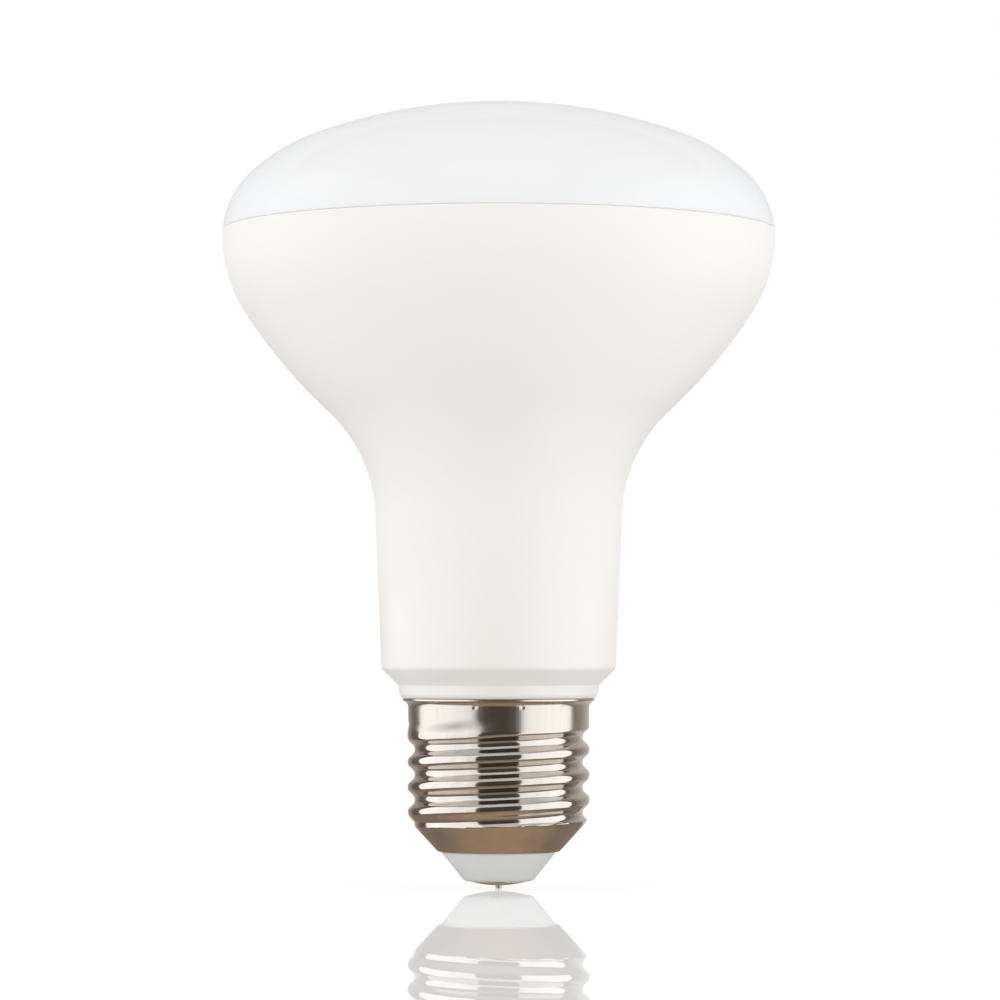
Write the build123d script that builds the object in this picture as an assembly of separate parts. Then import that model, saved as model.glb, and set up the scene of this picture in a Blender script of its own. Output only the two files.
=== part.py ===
"""Reflector bulb: an opal dome and a moulded housing on a screw cap with its insulator and centre contact."""
import os
from math import acos, asin, atan2, ceil, cos, degrees, radians, sin, sqrt, tan

from build123d import *

# Driving dimensions in millimetres and degrees. Z is the bulb's axis, and Z = 0 is the tip of its contact.

# Screw shell: a plated sheet cap with a right-hand round thread
cap_length = 27.3
lip_thickness = 0.3
lip_flare = 0.8
lip_flare_height = 0.95
band_length = 3.15
band_step = 0.1
band_step_height = 0.5
thread_dia = 26.3
thread_depth = 1.05
thread_pitch = 3.629
flank_angle = 46.5
crest_trim = 0.01
groove_drop = 1.13
run_out_turns = 0.78
sheet_wall = 0.35
cone_angle = 42.7
cone_shoulder_round = 4.0
shell_end_dia = 17.5
shell_end_height = 5.25
shell_end_round = 0.7
stake_count = 12
stake_drop = 1.2
stake_ball_dia = 0.7
stake_depth = 0.1

# Insulator in the end of the shell
insulator_base_dia = 9.9
insulator_base_height = 1.05
insulator_round = 1.0
insulator_land = 0.2

# Centre contact
contact_dia = 7.8
contact_edge = 0.12
pip_dia = 0.9
pip_height = 0.4
shank_dia = 3.0

# Housing, from the collar on the shell's lip up to the seam with the dome
collar_overhang = 0.67
collar_height = 1.95
collar_taper = 9.0
collar_round = 0.9
foot_chamfer_height = 2.4
foot_round = 1.0
neck_dia = 35.65
neck_length = 22.35
neck_taper = 2.32
throat_radius = 21.4
flare_radius = 76.0
rim_radius = 21.1
rim_angle = 33.3
rim_above_widest = 0.55
rim_edge_round = 0.25
reflector_dia = 80.0

# Diffuser dome
dome_inset = 0.06
dome_edge_chamfer = 0.2
dome_start_angle = 4.6
shoulder_radius = 12.2
shoulder_angle = 45.8
crown_edge_radius = 25.5
crown_edge_angle = 69.4
spigot_inset = 2.2
spigot_depth = 3.0

# Clearances
seat_gap = 0.1
stack_gap = 0.2


def rise(angle):
    """Gives the sine of an angle in degrees."""
    return sin(radians(angle))


def run(angle):
    """Gives the cosine of an angle in degrees."""
    return cos(radians(angle))


def grade(angle):
    """Gives the tangent of an angle in degrees."""
    return tan(radians(angle))


# Sizes of the screw shell that other pieces share
thread_radius = thread_dia / 2
root_radius = thread_radius - thread_depth
bore_radius = root_radius - sheet_wall
band_radius = thread_radius - band_step
lip_radius = band_radius + lip_flare
shell_end_radius = shell_end_dia / 2
inner_end_radius = shell_end_radius - sheet_wall / run(cone_angle)
bore_end_height = shell_end_height + (bore_radius - inner_end_radius) / grade(cone_angle)

# The slope at which the throat meets the flare follows from the diameters of the neck and the reflector
neck_radius = neck_dia / 2
reflector_radius = reflector_dia / 2
arc_span = flare_radius * run(rim_angle) + rim_radius * (1 - run(rim_angle)) + throat_radius * run(neck_taper)
flare_slope = degrees(acos((neck_radius - reflector_radius + arc_span) / (flare_radius + throat_radius)))

# Heights and radii where the housing meets its neighbours
collar_top = cap_length + collar_height
foot_height = collar_top + foot_chamfer_height
neck_top = foot_height + neck_length
throat_top = neck_top + throat_radius * (rise(flare_slope) - rise(neck_taper))
flare_top = throat_top + flare_radius * (rise(flare_slope) - rise(rim_angle))
seam_height = flare_top + rim_radius * rise(rim_angle) + rim_above_widest
seam_angle = degrees(asin(rim_above_widest / rim_radius))
seam_radius = reflector_radius - rim_radius * (1 - run(seam_angle))
spigot_radius = seam_radius - spigot_inset


def heading(angle):
    """Gives the direction at an angle, counted from the outward radius towards +Z."""
    return Vector(run(angle), rise(angle))


def turned(face):
    """Revolves an outline, drawn with the radius as X and the height as Y, round the bulb's axis."""
    return revolve(Plane.YZ * face, Axis.Z)


def rounded(face, corner, radius):
    """Rounds the corner of an outline that lies nearest to a point."""
    return fillet(face.vertices().sort_by_distance(corner)[0], radius)


def make_housing():
    """Makes the moulded body: cap spigot, collar, chamfered foot, tapered neck, throat, flare and rim."""
    foot_edge = Vector(neck_radius - neck_length * grade(neck_taper), foot_height)
    neck = Line(foot_edge, (neck_radius, neck_top))
    throat = JernArc(neck @ 1, neck % 1, throat_radius, neck_taper - flare_slope)
    flare = JernArc(throat @ 1, throat % 1, flare_radius, flare_slope - rim_angle)
    rim = JernArc(flare @ 1, flare % 1, rim_radius, rim_angle + seam_angle)
    mouth_radius = spigot_radius + seat_gap
    mouth_floor = seam_height - spigot_depth - stack_gap
    collar_radius = lip_radius + collar_overhang
    collar_edge = Vector(collar_radius - collar_height * grade(collar_taper), cap_length)
    cap_spigot_radius = bore_radius - seat_gap
    cap_spigot_end = bore_end_height + stack_gap
    inside = Polyline(
        rim @ 1,
        (mouth_radius, seam_height),
        (mouth_radius, mouth_floor),
        (0, mouth_floor),
        (0, cap_spigot_end),
        (cap_spigot_radius, cap_spigot_end),
        (cap_spigot_radius, cap_length),
        collar_edge,
        (collar_radius, collar_top),
        foot_edge,
    )
    face = make_face([neck, throat, flare, rim, *inside.edges()])
    face = rounded(face, foot_edge, foot_round)
    face = rounded(face, collar_edge, collar_round)
    face = rounded(face, rim @ 1, rim_edge_round)
    return turned(face)


def make_diffuser():
    """Makes the opal dome, whose spigot sits in the housing's mouth."""
    base_edge = Vector(seam_radius - dome_inset, seam_height)
    shoulder_turn = shoulder_angle - dome_start_angle
    shoulder = JernArc(base_edge, heading(90 + dome_start_angle), shoulder_radius, shoulder_turn)
    crown_edge = JernArc(shoulder @ 1, shoulder % 1, crown_edge_radius, crown_edge_angle - shoulder_angle)
    crown_radius = (crown_edge @ 1).X / run(crown_edge_angle)
    crown = JernArc(crown_edge @ 1, crown_edge % 1, crown_radius, 90 - crown_edge_angle)
    spigot_end = seam_height - spigot_depth
    inside = Polyline(
        crown @ 1,
        (0, spigot_end),
        (spigot_radius, spigot_end),
        (spigot_radius, seam_height),
        base_edge,
    )
    face = make_face([shoulder, crown_edge, crown, *inside.edges()])
    face = chamfer(face.vertices().sort_by_distance(base_edge)[0], dome_edge_chamfer)
    return turned(face)


def thread_groove():
    """Draws one groove of the round thread, centred on Y = 0 and open past the crest."""
    half_pitch = thread_pitch / 2
    depth = thread_depth + crest_trim
    arc_radius = half_pitch * rise(flank_angle) - depth * run(flank_angle)
    arc_radius /= 2 * (1 - run(flank_angle))
    flank_length = half_pitch / run(flank_angle) - 2 * arc_radius * grade(flank_angle)
    crest_angle = degrees(acos(1 - crest_trim / (2 * arc_radius)))
    root = JernArc((root_radius, 0), (0, 1), arc_radius, -flank_angle)
    flank = Line(root @ 1, root @ 1 + (root % 1) * flank_length)
    crest = JernArc(flank @ 1, flank % 1, arc_radius, flank_angle - crest_angle)
    mouth = Line(crest @ 1, (thread_radius + thread_depth, (crest @ 1).Y))
    upper = Curve() + [root, flank, crest, mouth]
    lower = mirror(upper, Plane.XZ)
    closing = Line(mouth @ 1, ((mouth @ 1).X, -(mouth @ 1).Y))
    return make_face([*upper.edges(), *lower.edges(), closing])


def groove_cutters():
    """Sweeps the groove turn by turn from the cone upwards, and lets it run out into the band."""
    section = Plane.XZ * thread_groove()
    one_turn = sweep(section, Helix(thread_pitch, thread_pitch, thread_radius), is_frenet=True)
    groove_end = cap_length - lip_thickness - lip_flare_height - band_length - groove_drop
    clear_radius = root_radius - thread_depth
    clear_height = shell_end_height + (clear_radius - shell_end_radius) / grade(cone_angle)
    turns = ceil((groove_end - clear_height) / thread_pitch)
    cutters = [Pos(0, 0, groove_end - turn * thread_pitch) * one_turn for turn in range(turns, 0, -1)]
    run_out_height = run_out_turns * thread_pitch
    run_out_angle = degrees(atan2(thread_depth + crest_trim, run_out_height))
    slant_pitch = thread_pitch / run(run_out_angle)
    spiral = Helix(slant_pitch, run_out_height, thread_radius, cone_angle=run_out_angle)
    cutters.append(Pos(0, 0, groove_end) * sweep(section, spiral, is_frenet=True))
    return cutters


def stake_marks():
    """Places the balls that dent the band below the lip, where the shell is staked to the housing."""
    ball_radius = stake_ball_dia / 2
    half_step = 180 / stake_count
    ring = PolarLocations(band_radius + ball_radius - stake_depth, stake_count, half_step)
    return [Pos(0, 0, cap_length - stake_drop) * place * Sphere(ball_radius) for place in ring]


def make_screw_shell():
    """Makes the plated sheet shell: flared lip, plain band, rolled thread and cone."""
    lip_base = cap_length - lip_thickness
    band_top = lip_base - lip_flare_height
    band_end = band_top - band_length
    cone_top = shell_end_height + (thread_radius - shell_end_radius) / grade(cone_angle)
    lip = TangentArc((band_radius, band_top), (lip_radius, lip_base), tangent=(0, 1))
    rest = Polyline(
        lip @ 1,
        (lip_radius, cap_length),
        (bore_radius, cap_length),
        (bore_radius, bore_end_height),
        (inner_end_radius, shell_end_height),
        (shell_end_radius, shell_end_height),
        (thread_radius, cone_top),
        (thread_radius, band_end - band_step_height),
        (band_radius, band_end),
        lip @ 0,
    )
    face = make_face([lip, *rest.edges()])
    face = rounded(face, (thread_radius, cone_top), cone_shoulder_round)
    face = rounded(face, (shell_end_radius, shell_end_height), shell_end_round)
    shell = turned(face)
    for cutter in groove_cutters():
        shell -= cutter
    return shell - stake_marks()


def make_insulator():
    """Makes the cone that fills the end of the shell and carries the contact."""
    base_edge = (insulator_base_dia / 2, insulator_base_height)
    hole_radius = shank_dia / 2 + seat_gap
    land_radius = inner_end_radius - seat_gap
    section = Polyline(
        (hole_radius, insulator_base_height),
        base_edge,
        (land_radius, shell_end_height - insulator_land),
        (land_radius, shell_end_height),
        (bore_radius - seat_gap, bore_end_height),
        (hole_radius, bore_end_height),
        close=True,
    )
    return turned(rounded(make_face(section.edges()), base_edge, insulator_round))


def make_centre_contact():
    """Makes the domed button with its pip, and the shank that holds it in the insulator."""
    contact_radius = contact_dia / 2
    pip_radius = pip_dia / 2
    shank_radius = shank_dia / 2
    edge_height = insulator_base_height - contact_edge
    dome_rise = edge_height - pip_height
    dome_radius = (contact_radius**2 + dome_rise**2) / (2 * dome_rise)
    pip_top = pip_height + dome_radius - sqrt(dome_radius**2 - pip_radius**2)
    dome = RadiusArc((pip_radius, pip_top), (contact_radius, edge_height), -dome_radius)
    rest = Polyline(
        dome @ 1,
        (contact_radius, insulator_base_height),
        (shank_radius, insulator_base_height),
        (shank_radius, bore_end_height),
        (0, bore_end_height),
        (0, 0),
        (pip_radius, 0),
        dome @ 0,
    )
    return turned(make_face([dome, *rest.edges()]))


def main():
    """Builds each piece and writes it to a file of its own."""
    pieces = {
        "diffuser": make_diffuser(),
        "housing": make_housing(),
        "screw_shell": make_screw_shell(),
        "insulator": make_insulator(),
        "centre_contact": make_centre_contact(),
    }
    os.makedirs("parts", exist_ok=True)
    for name, piece in pieces.items():
        piece.label = name
        export_step(piece, f"parts/{name}.step")


if __name__ == "__main__":
    main()
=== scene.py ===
"""A reflector bulb in a studio: opal dome, satin white housing and nickel screw cap on a pale floor."""

import logging
import math
from dataclasses import dataclass
from enum import Enum
from typing import Any, ClassVar, Mapping, Sequence

import bpy
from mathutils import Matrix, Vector

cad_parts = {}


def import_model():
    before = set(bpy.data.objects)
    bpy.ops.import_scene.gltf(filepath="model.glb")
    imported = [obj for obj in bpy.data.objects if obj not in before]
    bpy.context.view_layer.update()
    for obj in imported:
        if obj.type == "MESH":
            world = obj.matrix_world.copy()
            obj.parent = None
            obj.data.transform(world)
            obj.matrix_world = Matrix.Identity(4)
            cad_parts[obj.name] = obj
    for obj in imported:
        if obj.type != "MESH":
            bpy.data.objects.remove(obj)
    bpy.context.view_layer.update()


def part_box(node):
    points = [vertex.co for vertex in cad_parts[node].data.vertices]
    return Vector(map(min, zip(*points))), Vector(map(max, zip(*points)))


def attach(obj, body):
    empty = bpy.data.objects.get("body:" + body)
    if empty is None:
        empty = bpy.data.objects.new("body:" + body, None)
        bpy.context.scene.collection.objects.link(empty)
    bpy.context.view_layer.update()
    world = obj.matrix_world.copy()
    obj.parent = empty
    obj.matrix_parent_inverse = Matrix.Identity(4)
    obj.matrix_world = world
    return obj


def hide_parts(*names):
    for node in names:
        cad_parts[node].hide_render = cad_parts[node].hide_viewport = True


log = logging.getLogger("reflector_bulb")

MM = 0.001
BODY = "root"

# Degrees: the heading straight up, and the steps round a bent corner and a disc's rim
UP = 90.0
ARC_STEP = 4.0
RIM_STEP = 10

# Lengths: how near a point counts as on the axis, and how far a piece's box may lie from its node's
AXIS_LIMIT = 0.001 * MM
FIT_LIMIT = 0.1 * MM

WHITE = (1.0, 1.0, 1.0, 1.0)

Point = tuple[float, float]
Color = tuple[float, float, float]
Inputs = Mapping[str | int, Any]
Shape = tuple[Sequence[Sequence[float]], Sequence[Sequence[int]]]


class Node(str, Enum):
    """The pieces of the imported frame."""

    DIFFUSER = "diffuser"
    HOUSING = "housing"
    SCREW_SHELL = "screw_shell"
    INSULATOR = "insulator"
    CENTRE_CONTACT = "centre_contact"


class Slot(str, Enum):
    """The record's material slots."""

    OPAL_PLASTIC = "opal_plastic"
    WHITE_PLASTIC = "white_plastic"
    NICKEL_PLATE = "nickel_plate"
    GREY_INSULATION = "grey_insulation"
    CONTACT_METAL = "contact_metal"


class Side(Enum):
    """The two sides of the studio, as the camera sees them."""

    LEFT = -1.0
    RIGHT = 1.0


# Outlines and turned meshes


@dataclass(frozen=True)
class Corner:
    """A corner of an outline: its radius from the axis, its height, and the bend that rounds it.

    A corner can also give the longest step of the run that leaves it, where that isn't the outline's own.
    """

    radius: float
    height: float
    bend: float = 0.0
    row: float | None = None

    def place(self) -> Vector:
        """Gives the corner as a vector in the plane of the outline."""
        return Vector((self.radius, self.height))


def heading(angle: float) -> Vector:
    """Gives the direction at an angle in degrees, counted from the outward radius towards the top."""
    return Vector((math.cos(math.radians(angle)), math.sin(math.radians(angle))))


def tangent_arc(start: Vector, angle: float, bend: float, turn: float, row: float) -> list[Vector]:
    """Draws an arc that leaves a point in a given direction.

    Args:
        start: The point that the arc leaves.
        angle: The direction at the start, in degrees.
        bend: The arc's radius.
        turn: How far the arc turns in degrees, counter-clockwise if positive.
        row: The longest step between two points.

    Returns:
        The arc's points after the start, the last one being its end.
    """
    side = math.copysign(90.0, turn)
    centre = start + bend * heading(angle + side)
    rows = math.ceil(abs(math.radians(turn)) * bend / row)
    return [centre + bend * heading(angle - side + turn * index / rows) for index in range(1, rows + 1)]


def round_corner(before: Vector, corner: Corner, after: Vector) -> list[Vector]:
    """Rounds one corner of an outline.

    Args:
        before: The point before the corner.
        corner: The corner and its bend.
        after: The point after the corner.

    Returns:
        The points of the arc that takes the corner's place, or the corner itself if it stays sharp.
    """
    place = corner.place()
    if not corner.bend:
        return [place]
    back = (before - place).normalized()
    ahead = (after - place).normalized()
    half = back.angle(ahead) / 2
    centre = place + (back + ahead).normalized() * (corner.bend / math.sin(half))
    first = place + back * (corner.bend / math.tan(half)) - centre
    last = place + ahead * (corner.bend / math.tan(half)) - centre
    start = math.atan2(first.y, first.x)
    turn = math.remainder(math.atan2(last.y, last.x) - start, math.tau)
    rows = max(2, math.ceil(math.degrees(abs(turn)) / ARC_STEP))
    angles = [math.degrees(start + turn * index / rows) for index in range(rows + 1)]
    return [centre + corner.bend * heading(angle) for angle in angles]


def draw_outline(corners: Sequence[Corner], row: float, ring: bool = False) -> list[Point]:
    """Draws an outline through its corners and divides the straight runs.

    Args:
        corners: The corners, with the solid on the left of the way from one to the next.
        row: The longest step between two points.
        ring: Whether the outline closes on itself, as that of a ring does, or starts and ends on the axis.

    Returns:
        The outline's points as pairs of radius and height.
    """
    places = [corner.place() for corner in corners]
    count = len(corners)
    bent: list[Vector] = []
    longest: list[float] = []
    for index, corner in enumerate(corners):
        arc = round_corner(places[index - 1], corner, places[(index + 1) % count])
        bent += arc
        longest += [corner.row or row] * len(arc)
    following = bent[1:] + bent[:1] if ring else bent[1:]
    points: list[Point] = []
    for start, end, limit in zip(bent, following, longest):
        steps = max(1, math.ceil((end - start).length / limit))
        points += [tuple(start.lerp(end, step / steps)) for step in range(steps)]
    return points if ring else points + [tuple(bent[-1])]


def add_mesh(name: str, shape: Shape) -> bpy.types.Object:
    """Adds a mesh object to the scene.

    Args:
        name: The new object's name.
        shape: Its vertices and its faces.

    Returns:
        An object at the origin, with its place in its mesh.
    """
    vertices, faces = shape
    mesh = bpy.data.meshes.new(name)
    mesh.from_pydata(vertices, [], faces)
    piece = bpy.data.objects.new(name, mesh)
    bpy.context.scene.collection.objects.link(piece)
    return piece


def disc_rim(radius: float) -> list[Vector]:
    """Gives the points of a level disc's rim."""
    return [radius * heading(angle) for angle in range(0, 360, RIM_STEP)]


def turn_outline(name: str, outline: Sequence[Point], segments: int, ring: bool) -> bpy.types.Object:
    """Turns an outline round the bulb's axis into a closed mesh.

    Args:
        name: The new object's name.
        outline: The outline's points.
        segments: The number of steps round the axis.
        ring: Whether the outline closes on itself.

    Returns:
        An object at the origin, with its place in its mesh.
    """
    vertices: list[tuple[float, float, float]] = []
    rows: list[list[int]] = []
    for radius, height in outline:
        if radius < AXIS_LIMIT:
            rows.append([len(vertices)] * segments)
            vertices.append((0.0, 0.0, height))
            continue
        rows.append(list(range(len(vertices), len(vertices) + segments)))
        for index in range(segments):
            azimuth = math.tau * index / segments
            vertices.append((radius * math.cos(azimuth), radius * math.sin(azimuth), height))
    faces: list[tuple[int, ...]] = []
    for low, high in zip(rows, rows[1:] + rows[:1] if ring else rows[1:]):
        for index in range(segments):
            following = (index + 1) % segments
            corners = (low[index], low[following], high[following], high[index])
            faces.append(tuple(dict.fromkeys(corners)))
    piece = add_mesh(name, (vertices, faces))
    piece.data.validate()
    return piece


# Node trees


class Field:
    """A number in a node tree, which ordinary arithmetic joins to others."""

    def __init__(self, tree: bpy.types.NodeTree, socket: bpy.types.NodeSocket) -> None:
        """Keeps the tree and the socket that gives the number."""
        self.tree = tree
        self.socket = socket

    def math(self, operation: str, *others: "Field | float") -> "Field":
        """Adds one math node.

        Args:
            operation: The node's operation.
            others: Its other inputs.

        Returns:
            The node's result.
        """
        node = self.tree.nodes.new("ShaderNodeMath")
        node.operation = operation
        for port, value in zip(node.inputs, (self, *others)):
            if isinstance(value, Field):
                self.tree.links.new(value.socket, port)
            else:
                port.default_value = value
        return Field(self.tree, node.outputs[0])

    def __add__(self, other: "Field | float") -> "Field":
        """Adds a number."""
        return self.math("ADD", other)

    def __sub__(self, other: "Field | float") -> "Field":
        """Takes a number away."""
        return self.math("SUBTRACT", other)

    def __mul__(self, other: "Field | float") -> "Field":
        """Multiplies by a number."""
        return self.math("MULTIPLY", other)

    def __truediv__(self, other: "Field | float") -> "Field":
        """Divides by a number."""
        return self.math("DIVIDE", other)


class Graph:
    """A node tree with short calls that add nodes and join them."""

    def __init__(self, tree: bpy.types.NodeTree) -> None:
        """Keeps the tree."""
        self.tree = tree

    def add(self, kind: str, inputs: Inputs | None = None, **settings: Any) -> bpy.types.Node:
        """Adds a node.

        Args:
            kind: The node's type.
            inputs: Values or sockets for the node's inputs, by name or number.
            settings: The node's own settings.

        Returns:
            The new node.
        """
        node = self.tree.nodes.new(kind)
        for name, value in settings.items():
            setattr(node, name, value)
        for name, value in (inputs or {}).items():
            source = value.socket if isinstance(value, Field) else value
            if isinstance(source, bpy.types.NodeSocket):
                self.tree.links.new(source, node.inputs[name])
            else:
                node.inputs[name].default_value = source
        return node

    def field(self, socket: bpy.types.NodeSocket) -> Field:
        """Gives a socket as a number for arithmetic."""
        return Field(self.tree, socket)

    def join(self, source: Field | bpy.types.NodeSocket, port: bpy.types.NodeSocket) -> None:
        """Joins a number or a socket to an input."""
        self.tree.links.new(source.socket if isinstance(source, Field) else source, port)

    def vector(self, operation: str, inputs: Inputs) -> bpy.types.NodeSocket:
        """Adds a node of vector arithmetic and gives its vector."""
        return self.add("ShaderNodeVectorMath", inputs, operation=operation).outputs["Vector"]

    def length(self, vector: bpy.types.NodeSocket) -> Field:
        """Gives the length of a vector."""
        return self.field(self.add("ShaderNodeVectorMath", {0: vector}, operation="LENGTH").outputs["Value"])

    def object_place(self) -> bpy.types.NodeSocket:
        """Gives the place of a point in its piece's own coordinates."""
        return self.add("ShaderNodeTexCoord").outputs["Object"]

    def mix(self, share: Field | bpy.types.NodeSocket, *shaders: bpy.types.Node) -> bpy.types.Node:
        """Mixes two shaders, with a share of the second."""
        first, second = (shader.outputs[0] for shader in shaders)
        return self.add("ShaderNodeMixShader", {0: share, 1: first, 2: second})

    def from_axis(self, place: bpy.types.NodeSocket) -> bpy.types.NodeSocket:
        """Gives the level way from the bulb's axis to a place."""
        return self.vector("MULTIPLY", {0: place, 1: (1.0, 1.0, 0.0)})

    def noise(self, vector: bpy.types.NodeSocket, scale: float | Field, detail: float) -> Field:
        """Adds a noise texture.

        Args:
            vector: The coordinates.
            scale: How many grains there are to a metre.
            detail: How many finer layers are added.

        Returns:
            The noise, from 0 to 1.
        """
        inputs = {"Vector": vector, "Scale": scale, "Detail": detail}
        return self.field(self.add("ShaderNodeTexNoise", inputs).outputs[0])

    def spread(self, value: Field, low: float, high: float) -> Field:
        """Spreads a number from 0 to 1 over another range."""
        return value * (high - low) + low


def shader_group(name: str, inputs: Mapping[str, float], outputs: Sequence[str]) -> tuple[Graph, Any, Any]:
    """Starts a shader node group whose sockets are all numbers.

    Args:
        name: The group's name.
        inputs: The inputs and their first values.
        outputs: The outputs.

    Returns:
        The group's graph, its input node and its output node.
    """
    tree = bpy.data.node_groups.new(name, "ShaderNodeTree")
    for label, value in inputs.items():
        socket = tree.interface.new_socket(name=label, in_out="INPUT", socket_type="NodeSocketFloat")
        socket.default_value = value
    for label in outputs:
        tree.interface.new_socket(name=label, in_out="OUTPUT", socket_type="NodeSocketFloat")
    graph = Graph(tree)
    return graph, graph.add("NodeGroupInput"), graph.add("NodeGroupOutput")


class SharedEffects:
    """Surface effects that several finishes use, each built once as a node group."""

    def __init__(self) -> None:
        """Builds the groups."""
        self.moulded_grain = self.build_moulded_grain()
        self.handling = self.build_handling()
        self.lathe_marks = self.build_lathe_marks()

    def build_moulded_grain(self) -> bpy.types.NodeTree:
        """Builds the fine grain that a mould leaves on plastic, with a slow drift of its tone."""
        sizes = {"Grains": 4000.0, "Drift": 40.0}
        graph, given, made = shader_group("moulded_grain", sizes, ["Height", "Tone"])
        place = graph.object_place()
        fine = graph.noise(place, graph.field(given.outputs["Grains"]), detail=2.0)
        slow = graph.noise(place, graph.field(given.outputs["Drift"]), detail=1.0)
        graph.join(fine, made.inputs["Height"])
        graph.join(slow, made.inputs["Tone"])
        return graph.tree

    def build_handling(self) -> bpy.types.NodeTree:
        """Builds the uneven sheen of a surface that has been handled and wiped."""
        graph, given, made = shader_group("handling", {"Marks": 120.0, "Contrast": 2.0}, ["Sheen"])
        soft_patch = graph.noise(graph.object_place(), graph.field(given.outputs["Marks"]), detail=3.0)
        sheen = (soft_patch - 0.5) * graph.field(given.outputs["Contrast"]) + 0.5
        held = sheen.math("MAXIMUM", 0.0).math("MINIMUM", 1.0)
        graph.join(held, made.inputs["Sheen"])
        return graph.tree

    def build_lathe_marks(self) -> bpy.types.NodeTree:
        """Builds the fine lines that run round a rolled or turned piece."""
        graph, given, made = shader_group("lathe_marks", {"Lines": 6000.0, "Wander": 60.0}, ["Mark"])
        axes = graph.add("ShaderNodeSeparateXYZ", {0: graph.object_place()})
        across, deep, up = (graph.field(socket) for socket in axes.outputs)
        wander = graph.field(given.outputs["Wander"])
        reach = (across * across + deep * deep).math("SQRT")
        lines = (up + reach) * graph.field(given.outputs["Lines"])
        course = graph.add("ShaderNodeCombineXYZ", {0: across * wander, 1: deep * wander, 2: lines})
        graph.join(graph.noise(course.outputs[0], scale=1.0, detail=2.0), made.inputs["Mark"])
        return graph.tree


# Finishes


def start_material(name: str) -> tuple[bpy.types.Material, Graph]:
    """Starts a material with an empty node tree.

    Args:
        name: The material's name.

    Returns:
        The material and its graph.
    """
    material = bpy.data.materials.new(name)
    material.use_nodes = True
    material.node_tree.nodes.clear()
    return material, Graph(material.node_tree)


@dataclass(frozen=True)
class Finish:
    """What every finish of the bulb has: a colour, a sheen and a refractive index."""

    effects: SharedEffects
    name: str = ""
    color: Color = (0.8, 0.8, 0.8)
    tone_drift: float = 0.01
    smooth: float = 0.1
    dull: float = 0.2
    ior: float = 1.5
    bump_depth: float = 0.004 * MM

    def material(self) -> bpy.types.Material:
        """Makes the material: a principled shader with the finish's own nodes round it.

        Returns:
            The new material.
        """
        material, graph = start_material(self.name)
        shader = graph.add("ShaderNodeBsdfPrincipled", {"IOR": self.ior})
        self.shade(graph, shader)
        graph.add("ShaderNodeOutputMaterial", {"Surface": shader.outputs[0]})
        return material

    def shade(self, graph: Graph, shader: bpy.types.Node) -> None:
        """Adds the finish's own nodes."""
        raise NotImplementedError

    @staticmethod
    def filled(graph: Graph, group: bpy.types.NodeTree, values: Mapping[str, float]) -> bpy.types.Node:
        """Places a shared effect and sets its inputs."""
        node = graph.add("ShaderNodeGroup", node_tree=group)
        for name, value in values.items():
            node.inputs[name].default_value = value
        return node

    def tint(self, graph: Graph, shader: bpy.types.Node, tone: Field) -> None:
        """Lets the colour's brightness follow a tone from 0 to 1."""
        level = graph.spread(tone, 1.0 - self.tone_drift, 1.0 + self.tone_drift)
        shade = graph.add("ShaderNodeHueSaturation", {"Color": (*self.color, 1.0), "Value": level})
        graph.join(shade.outputs[0], shader.inputs["Base Color"])

    @staticmethod
    def cover(graph: Graph, shader: bpy.types.Node, share: Field, color: Color) -> None:
        """Lays another colour over the tinted one, as much as a share from 0 to 1 says."""
        base = shader.inputs["Base Color"]
        inputs = {"Fac": share, "Color1": base.links[0].from_socket, "Color2": (*color, 1.0)}
        graph.join(graph.add("ShaderNodeMixRGB", inputs).outputs[0], base)

    def sheen(self, graph: Graph, shader: bpy.types.Node, mark: Field) -> None:
        """Lets the roughness follow a mark from 0 to 1."""
        graph.join(graph.spread(mark, self.smooth, self.dull), shader.inputs["Roughness"])

    def relief(self, graph: Graph, shader: bpy.types.Node, height: Field) -> None:
        """Gives the surface a fine relief."""
        inputs = {"Height": height, "Distance": self.bump_depth, "Strength": 1.0}
        graph.join(graph.add("ShaderNodeBump", inputs).outputs[0], shader.inputs["Normal"])


@dataclass(frozen=True)
class MouldedPlastic(Finish):
    """Moulded plastic with a fine grain and a soft, slightly uneven sheen."""

    grains: float = 4000.0
    drift: float = 40.0
    marks: float = 120.0
    depth_weight: float = 0.0
    depth_reach: float = 1.0 * MM

    def shade(self, graph: Graph, shader: bpy.types.Node) -> None:
        """Joins grain, tone and sheen to the shader, and lets some light into the plastic."""
        grain = self.filled(graph, self.effects.moulded_grain, {"Grains": self.grains, "Drift": self.drift})
        handling = self.filled(graph, self.effects.handling, {"Marks": self.marks})
        self.tint(graph, shader, graph.field(grain.outputs["Tone"]))
        self.sheen(graph, shader, graph.field(handling.outputs["Sheen"]))
        self.relief(graph, shader, graph.field(grain.outputs["Height"]))
        shader.inputs["Subsurface Weight"].default_value = self.depth_weight
        shader.inputs["Subsurface Radius"].default_value = (1.0, 1.0, 1.0)
        shader.inputs["Subsurface Scale"].default_value = self.depth_reach


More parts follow.
